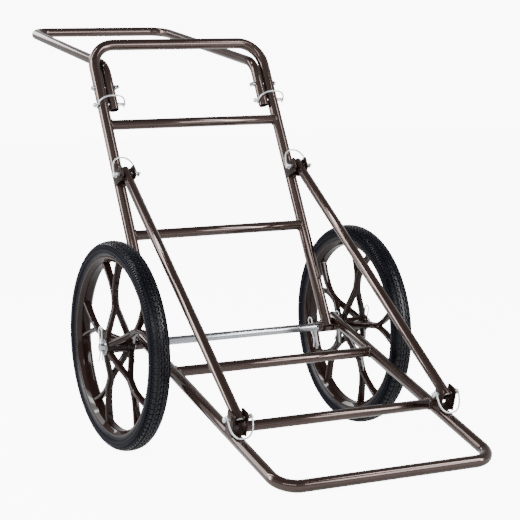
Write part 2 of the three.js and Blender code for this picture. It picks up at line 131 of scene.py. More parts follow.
# Hairpin clips: station along the axle, then eye height above it and lean for each side.
AXLE_CLIPS = (
    ("inner", 213, {"left": (26, 0), "right": (21, -27)}),
    ("hub", 288, {"left": (26, 0), "right": (26, 0)}),
    ("outer", 370, {"left": (40, 0), "right": (35, 20)}),
)
EYE_RADIUS = 8.5

# Axle washers: the two faces' stations along the axle, then the radius.
AXLE_WASHERS = (("inner", 290, 292, 19), ("outer", 364, 366.5, 20))

AT_AXLE = Matrix.Translation(AXLE) @ MM
BACK = Matrix.Translation(AXLE) @ Matrix.Rotation(-BACK_LEAN, 4, "X") @ MM
BED = Matrix.Translation(AXLE) @ Matrix.Rotation(BED_TILT, 4, "X") @ MM


# ---------------------------------------------------------------- materials
def new_material(name):
    material = bpy.data.materials.new(name)
    material.use_nodes = True
    nodes, links = material.node_tree.nodes, material.node_tree.links
    shader = next(n for n in nodes if n.type == "BSDF_PRINCIPLED")
    place = nodes.new("ShaderNodeTexCoord").outputs["Object"]
    return material, nodes, links, shader, place


def noise(nodes, links, place, scale, detail, stretch=None):
    if stretch:
        mapping = nodes.new("ShaderNodeMapping")
        mapping.inputs["Scale"].default_value = stretch
        links.new(place, mapping.inputs["Vector"])
        place = mapping.outputs["Vector"]
    node = nodes.new("ShaderNodeTexNoise")
    node.inputs["Scale"].default_value = scale
    node.inputs["Detail"].default_value = detail
    links.new(place, node.inputs["Vector"])
    return node.outputs["Fac"]


def ramp(nodes, links, value, stops):
    node = nodes.new("ShaderNodeValToRGB")
    elements = node.color_ramp.elements
    while len(elements) < len(stops):
        elements.new(0.5)
    for element, (position, colour) in zip(elements, stops):
        element.position = position
        element.color = (*colour, 1) if isinstance(colour, tuple) else (colour, colour, colour, 1)
    links.new(value, node.inputs["Fac"])
    return node.outputs["Color"]


def bump(nodes, links, shader, layers):
    """Stacks (height, strength, distance in metres) layers on the shader's normal."""
    previous = None
    for height, strength, distance in layers:
        node = nodes.new("ShaderNodeBump")
        node.inputs["Strength"].default_value = strength
        node.inputs["Distance"].default_value = distance
        links.new(height, node.inputs["Height"])
        if previous:
            links.new(previous, node.inputs["Normal"])
        previous = node.outputs["Normal"]
    links.new(previous, shader.inputs["Normal"])


def painted(name, dark, light, roughness, metallic, coat):
    """Powder coat: a soft orange peel, slow colour drift and faint handling marks."""
    material, nodes, links, shader, place = new_material(name)
    drift = noise(nodes, links, place, 9, 4)
    links.new(ramp(nodes, links, drift, [(0.3, dark), (0.7, light)]), shader.inputs["Base Color"])
    marks = noise(nodes, links, place, 55, 6)
    low, high = roughness
    links.new(ramp(nodes, links, marks, [(0.35, low), (0.75, high)]), shader.inputs["Roughness"])
    shader.inputs["Metallic"].default_value = metallic
    shader.inputs["Specular IOR Level"].default_value = 0.4
    shader.inputs["Coat Weight"].default_value = coat
    shader.inputs["Coat Roughness"].default_value = 0.05
    peel = noise(nodes, links, place, 420, 2)
    grit = noise(nodes, links, place, 1500, 2)
    bump(nodes, links, shader, [(peel, 0.012, 0.0003), (grit, 0.005, 0.0001)])
    return material


def plated(name, dark, light, roughness, metallic):
    """Zinc plate: cloudy passivation, fine drawing lines and a slight blue cast."""
    material, nodes, links, shader, place = new_material(name)
    cloud = noise(nodes, links, place, 34, 5)
    links.new(ramp(nodes, links, cloud, [(0.3, dark), (0.7, light)]), shader.inputs["Base Color"])
    lines = noise(nodes, links, place, 130, 4, stretch=(0.12, 1.6, 1.6))
    low, high = roughness
    links.new(ramp(nodes, links, lines, [(0.3, low), (0.75, high)]), shader.inputs["Roughness"])
    shader.inputs["Metallic"].default_value = metallic
    bump(nodes, links, shader, [(lines, 0.02, 0.0002), (cloud, 0.015, 0.0004)])
    return material


def rubbery():
    """Tyre rubber: near black with a faint bloom and a moulded grain, shinier on its tread."""
    tread_edge, sidewall = 0.018, 0.0235  # metres from the wheel's middle plane
    tread_shine, sidewall_shine = 0.42, 0.05
    material, nodes, links, shader, place = new_material("tyre_rubber")
    bloom = noise(nodes, links, place, 22, 5)
    tint = ramp(nodes, links, bloom, [(0.3, (0.004, 0.0044, 0.0085)), (0.75, (0.006, 0.0066, 0.0115))])
    links.new(tint, shader.inputs["Base Color"])
    grain = noise(nodes, links, place, 900, 3)
    links.new(ramp(nodes, links, bloom, [(0.3, 0.27), (0.8, 0.4)]), shader.inputs["Roughness"])
    across = nodes.new("ShaderNodeSeparateXYZ")
    links.new(place, across.inputs["Vector"])
    offset = across.outputs["X"]
    for operation, amount in (("ABSOLUTE", 0.0), ("SUBTRACT", WHEEL_X / 1000), ("ABSOLUTE", 0.0)):
        step = nodes.new("ShaderNodeMath")
        step.operation = operation
        step.inputs[1].default_value = amount
        links.new(offset, step.inputs[0])
        offset = step.outputs["Value"]
    shine = nodes.new("ShaderNodeMapRange")
    shine.inputs["From Min"].default_value = tread_edge
    shine.inputs["From Max"].default_value = sidewall
    shine.inputs["To Min"].default_value = tread_shine
    shine.inputs["To Max"].default_value = sidewall_shine
    links.new(offset, shine.inputs["Value"])
    links.new(shine.outputs["Result"], shader.inputs["Specular IOR Level"])
    bump(nodes, links, shader, [(grain, 0.18, 0.0004)])
    return material


def moulded(name, dark, light, roughness, texture):
    """Moulded plastic: even colour with flow marks and a fine tool texture."""
    material, nodes, links, shader, place = new_material(name)
    flow = noise(nodes, links, place, 14, 5, stretch=(1, 0.6, 0.6))
    links.new(ramp(nodes, links, flow, [(0.3, dark), (0.7, light)]), shader.inputs["Base Color"])
    low, high = roughness
    patches = noise(nodes, links, place, 70, 5)
    links.new(ramp(nodes, links, patches, [(0.3, low), (0.8, high)]), shader.inputs["Roughness"])
    shader.inputs["Specular IOR Level"].default_value = 0.3
    grain = noise(nodes, links, place, 1100, 2)
    bump(nodes, links, shader, [(grain, texture, 0.0002), (flow, 0.04, 0.0006)])
    return material


LOOKS = {
    "frame_paint": painted("bronze_powder_coat", (0.066, 0.039, 0.0325), (0.084, 0.051, 0.0425),
                           (0.1, 0.15), 0.72, 0.85),
    "bracket_paint": painted("bracket_powder_coat", (0.03, 0.0165, 0.0135), (0.04, 0.0225, 0.0185),
                             (0.22, 0.34), 0.6, 0.0),
    "rim_plastic": moulded("brown_rim_plastic", (0.0135, 0.006, 0.0047), (0.018, 0.0082, 0.0064),
                           (0.05, 0.1), 0.01),
    "bush_plastic": moulded("black_bush_plastic", (0.01, 0.01, 0.011), (0.018, 0.018, 0.019),
                            (0.4, 0.6), 0.2),
    "tyre": rubbery(),
    "zinc": plated("bright_zinc", (0.52, 0.55, 0.59), (0.64, 0.67, 0.71), (0.16, 0.26), 1.0),
    "washer_zinc": plated("grey_zinc", (0.26, 0.275, 0.3), (0.36, 0.38, 0.41), (0.2, 0.34), 1.0),
    "spring_wire": plated("wire_zinc", (0.78, 0.8, 0.83), (0.88, 0.9, 0.92), (0.26, 0.38), 0.6),
}


# ---------------------------------------------------------------- meshes
def ring(centre, u, v, radius, sides):
    return [centre + u * (radius * math.cos(a)) + v * (radius * math.sin(a))
            for a in (2 * math.pi * i / sides for i in range(sides))]


def skin(rings, closed=False):
    """Quads between successive rings; an open skin gets an end face at each end."""
    sides, count = len(rings[0]), len(rings)
    verts = [p for r in rings for p in r]
    faces = [(i * sides + k, i * sides + (k + 1) % sides,
              (i + 1) % count * sides + (k + 1) % sides, (i + 1) % count * sides + k)
             for i in range(count if closed else count - 1) for k in range(sides)]
    if not closed:
        faces.append(tuple(range(sides))[::-1])
        faces.append(tuple(range((count - 1) * sides, count * sides)))
    return verts, faces


def carried_frames(points, closed=False):
    """A tangent and two normals at each point, turned no more than the path turns."""
    count = len(points)
    tangents = []
    for i in range(count):
        before = points[i - 1] if i or closed else points[0]
        after = points[(i + 1) % count] if closed or i < count - 1 else points[i]
        tangents.append((after - before).normalized())
    u = tangents[0].orthogonal().normalized()
    frames = []
    for t in tangents:
        u = (u - t * u.dot(t)).normalized()
        frames.append((t, u, t.cross(u)))
    return frames


def tube(points, radius, wall=0.0, sides=36, lip=0.5):
    """A bar, or with a wall an open tube, whose cut ends have a small rounded lip."""
    frames = carried_frames(points)
    rings = [ring(p, u, v, radius, sides) for p, (_, u, v) in zip(points, frames)]

    def end_rings(index, outward):
        p, (t, u, v) = points[index], frames[index]
        inset = radius - (wall if wall else radius * 0.6)
        return [ring(p - t * (outward * back), u, v, r, sides) for back, r in
                ((lip, radius), (lip * 0.3, radius - lip * 0.3), (0, radius - lip), (0, inset + lip * 0.3))]

    first, last = end_rings(0, -1), end_rings(-1, 1)
    outer = [*reversed(first), *rings[1:-1], *last]
    if not wall:
        return skin(outer)
    inner = [ring(p, u, v, radius - wall, sides) for p, (_, u, v) in zip(points, frames)]
    return skin([*outer, *reversed(inner)], closed=True)


def loop(points, radii, sides=10):
    """A closed bead along closed points, with a radius at each."""
    frames = carried_frames(points, closed=True)
    return skin([ring(p, u, v, r, sides) for p, (_, u, v), r in zip(points, frames, radii)], closed=True)


def turned(outline, segments=64, closed=False):
    """A lathe about local X from (x, radius) pairs; a point on the axis becomes a tiny ring."""
    x_axis, y_axis, z_axis = Vector((1, 0, 0)), Vector((0, 1, 0)), Vector((0, 0, 1))
    tiny = 0.02
    rings = [ring(x_axis * x, y_axis, z_axis, max(r, tiny), segments) for x, r in outline]
    return skin(rings, closed)


def mirrored(half, *middle):
    """A whole outline from its +X half, listed from its end towards the middle."""
    return [*((-x, r) for x, r in half), *middle, *reversed(half)]


def squared(value, power):
    """A sine or cosine pushed outwards, so that a circle of them grows square."""
    return math.copysign(abs(value) ** power, value)


def plate(outline, low, high):
    """A flat (y, z) outline, thick from x = low to x = high."""
    verts = [Vector((x, y, z)) for x in (low, high) for y, z in outline]
    n = len(outline)
    sides = [(i, (i + 1) % n, n + (i + 1) % n, n + i) for i in range(n)]
    return verts, [tuple(range(n))[::-1], tuple(range(n, 2 * n)), *sides]


def moved(part, matrix):
    return [matrix @ v for v in part[0]], part[1]


def bent_path(corners, bends, steps=20):
    """A path through corners, each rounded to its own bend radius."""
    points = [corners[0]]
    for i, bend in enumerate(bends):
        arriving = (corners[i + 1] - corners[i]).normalized()
        leaving = (corners[i + 2] - corners[i + 1]).normalized()
        turn = arriving.angle(leaving)
        axis = arriving.cross(leaving).normalized()
        inward = axis.cross(arriving) * bend
        centre = corners[i + 1] - arriving * (bend * math.tan(turn / 2)) + inward
        points += [centre - Matrix.Rotation(turn * k / steps, 3, axis) @ inward for k in range(steps + 1)]
    return points + [corners[-1]]


def smooth_path(points, steps=6):
    """A Catmull-Rom path through the points."""
    padded = [points[0] * 2 - points[1], *points, points[-1] * 2 - points[-2]]
    path = []
    for a, b, c, d in zip(padded, padded[1:], padded[2:], padded[3:]):
        for k in range(steps):
            t = k / steps
            path.append(((b * 2) + (c - a) * t + (a * 2 - b * 5 + c * 4 - d) * t ** 2
                         + (b * 3 - a - c * 3 + d) * t ** 3) / 2)
    return [*path, points[-1]]


def joined(parts):
    """One bmesh of all the parts, with its faces looking outwards."""
    bm = bmesh.new()
    for verts, faces in parts:
        made = [bm.verts.new(v) for v in verts]
        for face in faces:
            bm.faces.new([made[i] for i in face])
    bmesh.ops.recalc_face_normals(bm, faces=bm.faces)
    return bm


def piece(name, parts, place, body, slot, *nodes, look=None, bevel=0.0, sharp=35):
    """One visible piece from mesh parts, riding on a body and standing for CAD nodes."""
    mesh = bpy.data.meshes.new(name)
    bm = joined(parts)
    if bevel:
        corner = math.radians(30)
        edges = [e for e in bm.edges if e.is_manifold and e.calc_face_angle() > corner]
        bmesh.ops.bevel(bm, geom=edges, offset=bevel, segments=2, profile=0.6, affect="EDGES",
                        clamp_overlap=True)
    bm.transform(place)
    bm.to_mesh(mesh)
    bm.free()
    for polygon in mesh.polygons:
        polygon.use_smooth = True
    mesh.set_sharp_from_angle(angle=math.radians(sharp))
    mesh.materials.append(LOOKS[look or slot])
    obj = bpy.data.objects.new(name, mesh)
    bpy.context.scene.collection.objects.link(obj)
    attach(obj, body)
    if nodes:
        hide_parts(*nodes)
    return obj


def vec(x, y, z):
    return Vector((x, y, z))


def bar_x(low, high, radius, y=0.0, z=0.0, wall=0.0, sides=36, lip=0.5):
    low, high = sorted((low, high))
    return tube([vec(low, y, z), vec((low + high) / 2, y, z), vec(high, y, z)], radius, wall, sides, lip)


# ---------------------------------------------------------------- frames
def ripple(count, radius=1.9, swell=0.45, pitch=4):
    """Bead radii that swell and pinch like a stacked weld."""
    return [radius + swell * abs(math.sin(math.pi * i / pitch)) for i in range(count)]


def cross_weld(side, half_width, along, across, centre):
    """The bead where a cross tube's end meets a side tube."""
    radius, gap = CROSS_RADIUS + WELD_STAND, 0.4
    points = []
    for i in range(CROSS_WELD_STEPS):
        a = 2 * math.pi * i / CROSS_WELD_STEPS
        depth = math.sqrt(FRAME_RADIUS ** 2 - (CROSS_RADIUS * math.sin(a)) ** 2)
        points.append(centre + vec(side * (half_width - depth - gap), 0, 0)
                      + along * (radius * math.cos(a)) + across * (radius * math.sin(a)))
    return loop(points, ripple(CROSS_WELD_STEPS))


def sleeve_weld(side):
    """The bead over a back frame's sleeve, where a leg stands on it."""
    radius = FRAME_RADIUS + WELD_STAND
    arc = []
    for i in range(SLEEVE_WELD_STEPS + 1):
        a = math.radians(18 + 144 * i / SLEEVE_WELD_STEPS)
        y = -TUBE_OFFSET + radius * math.sin(a)
        height = math.sqrt(max(SLEEVE_RADIUS ** 2 - y * y, 0)) + WELD_STAND
        arc.append(vec(side * BACK_HALF_WIDTH + radius * math.cos(a), y, height))
    frames = carried_frames(arc)
    return skin([ring(p, u, v, r, 10) for p, (_, u, v), r in zip(arc, frames, ripple(len(arc)))])


def sleeve(side, ends):
    return bar_x(ends[0] * side, ends[1] * side, SLEEVE_RADIUS, wall=SLEEVE_WALL, sides=48)


def crosses(place, body, prefix, stations, half_width, at, along, across):
    for which, station in stations.items():
        centre = at(station)
        reach = half_width - CROSS_COPE
        bar = bar_x(-reach, reach, CROSS_RADIUS, centre.y, centre.z, wall=CROSS_WALL)
        piece(f"{prefix}_{which}_cross", [bar], place, body, "frame_paint", f"{prefix}_{which}_cross_tube")
        for name, side in SIDES:
            piece(f"{prefix}_{which}_weld_{name}", [cross_weld(side, half_width, along, across, centre)],
                  place, body, "frame_paint", sharp=80)


def back_frame():
    half = [[vec(s * BACK_HALF_WIDTH, -TUBE_OFFSET, z) for z in (LEG_FOOT, BACK_LENGTH)] for _, s in SIDES]
    path = bent_path([*half[0], *reversed(half[1])], [BACK_BEND, BACK_BEND])
    piece("back_hoop", [tube(path, FRAME_RADIUS, BACK_WALL, 48)], BACK, "back_frame", "frame_paint",
          "back_frame_tube")
    crosses(BACK, "back_frame", "back", BACK_CROSSES, BACK_HALF_WIDTH,
            lambda s: vec(0, -TUBE_OFFSET, s), vec(0, 0, 1), vec(0, 1, 0))
    for name, side in SIDES:
        piece(f"back_axle_sleeve_{name}", [sleeve(side, BACK_SLEEVE), sleeve_weld(side)], BACK,
              "back_frame", "frame_paint", f"back_sleeve_{name}")
        seat = Matrix.Translation(vec(side * BACK_HALF_WIDTH, -TUBE_OFFSET, BACK_BRACKET_STATION))
        place = BACK @ seat @ Matrix.Rotation(math.pi / 2, 4, "X")
        bracket(f"back_clevis_{name}", place, "back_frame", f"back_bracket_{name}")


def bed():
    half = [[vec(s * BED_HALF_WIDTH, y, TUBE_OFFSET) for y in (BED_TAIL, -BED_LENGTH)] for _, s in SIDES]
    path = bent_path([*half[0], *reversed(half[1])], [BED_BEND, BED_BEND])
    piece("bed_hoop", [tube(path, FRAME_RADIUS, BED_WALL, 48)], BED, "bed", "frame_paint", "bed_frame_tube")
    crosses(BED, "bed", "bed", BED_CROSSES, BED_HALF_WIDTH,
            lambda s: vec(0, -s, TUBE_OFFSET), vec(0, 1, 0), vec(0, 0, 1))
    for name, side in SIDES:
        piece(f"bed_axle_sleeve_{name}", [sleeve(side, BED_SLEEVE)], BED, "bed", "frame_paint",
              f"bed_sleeve_{name}")
        place = BED @ Matrix.Translation(vec(side * BED_HALF_WIDTH, -BED_BRACKET_STATION, TUBE_OFFSET))
        bracket(f"bed_clevis_{name}", place, "bed", f"bed_bracket_{name}")


def bracket(name, place, body, node):
    """A folded U plate standing on a tube, with two square ears for the lock pin."""
    half, foot, top = 16.5, 12, BRACKET_STAND + 17
    inside, outside, nick, chamfer = 15, 19, 1.5, 6
    ear = [(-half, foot), (half, foot), (half, top - nick), (half - nick, top),
           (chamfer - half, top), (-half, top - chamfer)]
    seat, thick, lap = FRAME_RADIUS + 0.3, 3.5, 0.5
    web = [(-half, seat), (half, seat), (half, seat + thick), (-half, seat + thick)]
    parts = [plate(ear, -outside, -inside), plate(ear, inside, outside),
             plate(web, -inside - lap, inside + lap)]
    piece(name, parts, place, body, "bracket_paint", node, bevel=0.6)


back_frame()
bed()


# ---------------------------------------------------------------- handle and its fasteners
WING_STEPS = 8


def handle():
    rise = HANDLE_RISE + BACK_LEAN
    reach, lift = HANDLE_ARM * math.cos(rise), HANDLE_ARM * math.sin(rise)
    half = [[vec(s * HANDLE_HALF_WIDTH, -TUBE_OFFSET, HANDLE_FOOT),
             vec(s * HANDLE_HALF_WIDTH, -TUBE_OFFSET, HANDLE_BEND_STATION),
             vec(s * GRIP_HALF_WIDTH, -TUBE_OFFSET + reach, HANDLE_BEND_STATION + lift)] for _, s in SIDES]
    path = bent_path([*half[0], *reversed(half[1])], [HANDLE_BEND, GRIP_BEND, GRIP_BEND, HANDLE_BEND])
    bar = tube(path, CROSS_RADIUS, HANDLE_WALL, 44)
    piece("handle", [bar], BACK, "handle", "frame_paint", "handle_tube")


def hex_prism(across_flats, low, high):
    radius = across_flats / math.sqrt(3)
    outline = [(radius * math.cos(math.pi * i / 3), radius * math.sin(math.pi * i / 3)) for i in range(6)]
    return plate(outline, min(low, high), max(low, high))


def thread(low, high, radius, pitch):
    """A helical ridge on a bolt, from low to high along X."""
    ridge, steps_in_turn = 0.42, 18
    low, high = sorted((low, high))
    turns = (high - low) / pitch
    count = int(turns * steps_in_turn)
    points = []
    for i in range(count + 1):
        a = 2 * math.pi * turns * i / count
        points.append(vec(low + (high - low) * i / count, radius * math.cos(a), radius * math.sin(a)))
    return tube(points, ridge, sides=6, lip=0.1)


def pivot_bolt(name, side):
    """The bolt that the handle folds on, its two washers and its wing nut."""
    outer, inner = BACK_HALF_WIDTH + FRAME_RADIUS, HANDLE_HALF_WIDTH - CROSS_RADIUS
    place = BACK @ Matrix.Translation(vec(0, -TUBE_OFFSET, BOLT_STATION))
    head = hex_prism(10, side * (outer + 2.1), side * (outer + 5.9))
    dome = turned([(side * (outer + 5.7), 4.8), (side * (outer + 6.1), 4.1), (side * (outer + 6.1), 0)], 36)
    shank = bar_x(side * (outer + 4), side * (inner - 14), 2.75, lip=0.6)
    ridge = thread(side * (inner - 1), side * (inner - 13.4), 2.65, 1.0)
    piece(f"handle_pivot_bolt_{name}", [head, dome, shank, ridge], place, "back_frame", "zinc",
          f"handle_bolt_{name}")
    for which, low, high in (("outer", outer + 0.3, outer + 1.8), ("inner", inner - 1.8, inner - 0.3)):
        piece(f"pivot_washer_{which}_{name}", [bar_x(side * low, side * high, 6.5, wall=3.2, lip=0.35)],
              place, "back_frame", "zinc", f"handle_washer_{which}_{name}")
    wing_nut(name, side, place, inner)


def wing_nut(name, side, place, inner):
    """A tapered boss with two wings that lean away from the handle's tube."""
    near, far = inner - 2.1, inner - 9
    outline = [(near, 3.3), (near, 5.3), (near - 0.6, 5.8), (near - 4, 5.5), (far + 0.8, 4.8), (far, 4.2),
               (far, 3.3)]
    boss = turned([(side * x, r) for x, r in outline], 40, closed=True)
    wings = []
    for up in (1, -1):
        rows = []
        for step in range(WING_STEPS + 1):
            s = step / WING_STEPS
            y = up * (4.2 + 9.3 * s)
            out = side * (inner - 6.2 - 1.6 * s)
            height = 2.6 + 1.2 * math.sin(math.pi * min(s * 1.15, 1)) - 2 * max(0, s - 0.7) / 0.3
            thick = 1.4 - 0.4 * s
            rows.append([vec(out + thick * math.cos(a), y, height * math.sin(a))
                         for a in (2 * math.pi * k / 16 for k in range(16))])
        wings.append(skin(rows))
    piece(f"wing_nut_body_{name}", [boss, *wings], place, f"wing_nut_{name}", "zinc",
          f"wing_nut_{name}", sharp=50)


# ---------------------------------------------------------------- wire lock pins
ARCH_STEPS = 44


def lock_pin(name, place, lock, body, wire_body):
    """A headed pin with a rounded tip, and the spring wire that snaps over it from head to tip."""
    head, tip = lock["low"] - WIRE_RADIUS - 0.5, lock["high"] + 7
    outline = [(head - 6, 0), (head - 6.1, 2), (head - 5.6, 4.6), (head - 4.4, 6.1), (head - 3, 6.5),
               (head - 1.2, 6.4), (head - 0.4, 5.9), (head, 5.2), (head, PIN_RADIUS),
               (tip - 4.6, PIN_RADIUS), (tip - 3.2, 3.7), (tip - 1.4, 2.8), (tip - 0.4, 1.8), (tip, 1),
               (tip, 0)]
    piece(f"{name}_bolt", [turned(outline, 32)], place, body, "zinc", f"{name}_pin", look="spring_wire")
    beside = (1 if lock["hooked"] else -1) * (PIN_RADIUS + WIRE_RADIUS + 0.5)

    def end(x):
        if not lock["hooked"]:
            return [vec(x, beside, -5)]
        return [vec(x, beside * math.cos(a), -beside * math.sin(a))
                for a in (math.pi * (1 - i / 16) for i in range(16))]

    middle, half = (lock["low"] + lock["high"]) / 2, (lock["high"] - lock["low"]) / 2
    arch = []
    for i in range(ARCH_STEPS + 1):
        a = math.pi * i / ARCH_STEPS
        arch.append(vec(middle - half * squared(math.cos(a), 0.8), beside,
                        lock["height"] * squared(math.sin(a), 0.8)))
    path = [*end(lock["low"]), *arch, *reversed(end(lock["high"]))]
    turn = Matrix.Rotation(lock["swing"], 4, "X")
    piece(f"{name}_snap_wire", [tube(path, WIRE_RADIUS, sides=12, lip=0.4)], place @ turn, wire_body,
          "zinc", f"{name}_wire", look="spring_wire")


def brace(name, side, top, bottom):
    top = vec(side * BRACE_UPPER_X, top.y, top.z)
    bottom = vec(side * BRACE_LOWER_X, bottom.y, bottom.z)
    along = (bottom - top).normalized()
    path = [top - along * BRACE_HEAD, (top + bottom) / 2, bottom + along * BRACE_FOOT]
    piece(f"side_brace_{name}", [tube(path, CROSS_RADIUS, BRACE_WALL, 44)], AT_AXLE, f"brace_{name}",
          "frame_paint", f"brace_{name}")


handle()
local_back = AT_AXLE.inverted() @ BACK
local_bed = AT_AXLE.inverted() @ BED
for name, side in SIDES:
    pivot_bolt(name, side)
    across = side * (BACK_HALF_WIDTH + HANDLE_HALF_WIDTH) / 2
    upper = vec(side * BACK_HALF_WIDTH, -TUBE_OFFSET - BRACKET_STAND, BACK_BRACKET_STATION)
    lower = vec(side * BED_HALF_WIDTH, -BED_BRACKET_STATION, TUBE_OFFSET + BRACKET_STAND)
    lock_pin(f"handle_lock_{name}", BACK @ Matrix.Translation(vec(across, -TUBE_OFFSET, LOCK_STATION)),
             HANDLE_LOCK, f"handle_lock_{name}_pin", f"handle_lock_{name}_wire")
    lock_pin(f"brace_upper_{name}", BACK @ Matrix.Translation(upper), UPPER_LOCK,
             f"brace_upper_{name}_pin", f"brace_upper_{name}_wire")
    lock_pin(f"brace_lower_{name}", BED @ Matrix.Translation(lower), LOWER_LOCK,
             f"brace_lower_{name}_pin", f"brace_lower_{name}_wire")
    brace(name, side, local_back @ upper, local_bed @ lower)


# ---------------------------------------------------------------- axle and its clips
def hairpin(eye_height):
    """A straight leg through the axle, an eye on top and an outer leg that grips round the axle."""
    eye = [vec(0, 8 + EYE_RADIUS * math.cos(a), eye_height + EYE_RADIUS * math.sin(a))
           for a in (math.pi * (1.15 - 1.3 * i / 24) for i in range(25))]
    outer_leg, straight_leg = 66, 72
    foot = min(eye_height - outer_leg, -36)
    leg = smooth_path([vec(0, 15, 9), vec(0, 16, 3), vec(0, 16, -3), vec(0, 14.5, -10),
                       vec(0, 13.5, foot + 21), vec(0, 17, foot + 11), vec(0, 25, foot)])
    straight = [vec(0, 0, eye_height - straight_leg), vec(0, 0, -12), vec(0, 0, eye_height - 8)]
    return tube([*straight, *eye, *leg], CLIP_RADIUS, sides=12, lip=0.5)


def axle():
    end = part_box("axle")[1].x * 1000
    rounding = 1.4
    half = [(end, 0), (end, AXLE_RADIUS - rounding), (end - 0.5, AXLE_RADIUS - 0.4),
            (end - rounding, AXLE_RADIUS)]
    piece("axle_bar", [turned(mirrored(half))], AT_AXLE, "back_frame", "zinc", "axle")
    for name, side in SIDES:
        for which, x, stands in AXLE_CLIPS:
            eye_height, lean = stands[name]
            turn = Matrix.Rotation(math.radians(lean), 4, "X")
            place = AT_AXLE @ Matrix.Translation(vec(side * x, 0, 0)) @ turn
            piece(f"hairpin_{which}_{name}", [hairpin(eye_height)], place, f"axle_clip_{which}_{name}",
                  "zinc", f"axle_clip_{which}_{name}", look="spring_wire")
        for which, low, high, radius in AXLE_WASHERS:
            wall = radius - AXLE_RADIUS - 0.3
            washer = bar_x(side * low, side * high, radius, wall=wall, sides=56, lip=0.5)
            piece(f"axle_washer_{which}_{name}", [washer], AT_AXLE, "back_frame", "zinc",
                  f"wheel_washer_{which}_{name}", look="washer_zinc")


# ---------------------------------------------------------------- wheels
def tyre_section():
    """The tyre's outline, and a way to ask for the point and the normal at a distance along it."""
    half = [(19, 219), (23.5, 223.5), (25.8, 234), (24.3, 243.5), (18.5, 249.8), (9.5, 253.1)]
    corners = mirrored(half, (0, WHEEL_RADIUS))
    section = smooth_path([vec(x, r, 0) for x, r in corners], 10)
    lengths = [0.0]
    for a, b in zip(section, section[1:]):
        lengths.append(lengths[-1] + (b - a).length)
    total = lengths[-1]

    def on_section(s):
        s = min(max(s + total / 2, 0), total)
        i = max(k for k in range(len(lengths) - 1) if lengths[k] <= s)
        t = (s - lengths[i]) / (lengths[i + 1] - lengths[i])
        p = section[i].lerp(section[i + 1], t)
        d = (section[i + 1] - section[i]).normalized()
        return p, vec(-d.y, d.x, 0)

    return total / 2, on_section


def tread_rows(edge):
    """Rows of (place across, how far it is cut, how much it follows the zig-zag, rib number)."""
    flank, floor, ridge = 1.9, 1.2, 3.9
    rows = []
    for k in range(GROOVES):
        g = (k - (GROOVES - 1) / 2) * GROOVE_SPACING
        rows += [(g - flank, 0, 1, k - 1), (g - floor, 1, 1, None)]
        rows += [(g + floor, 1, 1, None), (g + flank, 0, 1, k)]
        if k < GROOVES - 1:
            rows += [(g + ridge, 0, 1, k)]
    last = GROOVES - 1
    shoulder = [(23.2, 0, 0.8, last), (25.4, 0, 0.5, last), (27.6, 0, 0.1, last)]
    sidewall = ((28.4, 0), (31, 0), (34.4, 0), (34.9, 0.35), (35.9, 0.35), (36.4, 0), (40, 0), (43, 0),
                (43.4, 0.3), (44.2, 0.3), (44.6, 0), (edge, 0))
    shoulder += [(place, cut, 0, None) for place, cut in sidewall]
    other = [(-place, cut, follow, None if rib is None else -1) for place, cut, follow, rib in shoulder]
    return [*reversed(other), *rows, *shoulder]


def sipe_depth(rib, phase):
    """How deep a rib is cut at one of the eight phases of a pitch; both shoulders are cut twice."""
    if rib is None:
        return 0
    early, late = (1, 2), (5, 6)
    if rib in (-1, GROOVES - 1):
        cut = early + late
    else:
        cut = early if rib % 2 else late
    return SIPE_DEPTH if phase in cut else 0


def grid_faces(width, count, strips):
    """Quads from each column of a closed sweep to the next, along the given pairs of rows."""
    return [(i * width + a, i * width + b, (i + 1) % count * width + b, (i + 1) % count * width + a)
            for i in range(count) for a, b in strips]


def tyre_parts():
    """The tyre's section is swept round the wheel; its tread is zig-zag ribs parted by sipes."""
    edge, on_section = tyre_section()
    rows = tread_rows(edge)
    phases = (0.0, 0.05, 0.21, 0.26, 0.5, 0.55, 0.71, 0.76)
    columns = [(n + share, phase) for n in range(TREAD_PITCHES) for phase, share in enumerate(phases)]
    verts = []
    for turn, phase in columns:
        angle = 2 * math.pi * turn / TREAD_PITCHES
        wave = abs(((turn + 0.375) % 1) * 2 - 1) * 2 - 1
        outward = Vector((0, math.cos(angle), math.sin(angle)))
        for s, cut, follow, rib in rows:
            p, normal = on_section(s + ZIGZAG * wave * follow)
            p = p - normal * max(TREAD_DEPTH * cut, sipe_depth(rib, phase))
            verts.append(vec(p.x, 0, 0) + outward * p.y)
    width, count = len(rows), len(columns)
    strips = [(k, k + 1) for k in range(width - 1)]
    faces = grid_faces(width, count, strips) + grid_faces(width, count, [(width - 1, 0)])
    return [(verts, faces)]


def rounded_bar(points, widths, depths, across, sides=20):
    """A rounded bar along points: widths lie across, depths at right angles to it."""
    rings = []
    for i, p in enumerate(points):
        t = (points[min(i + 1, len(points) - 1)] - points[max(i - 1, 0)]).normalized()
        u = (across - t * across.dot(t)).normalized()
        v = t.cross(u)
        w, d = widths[i] / 2, depths[i] / 2
        rings.append([p + u * (w * squared(math.cos(a), 0.5)) + v * (d * squared(math.sin(a), 0.5))
                      for a in (2 * math.pi * k / sides for k in range(sides))])
    return skin(rings)


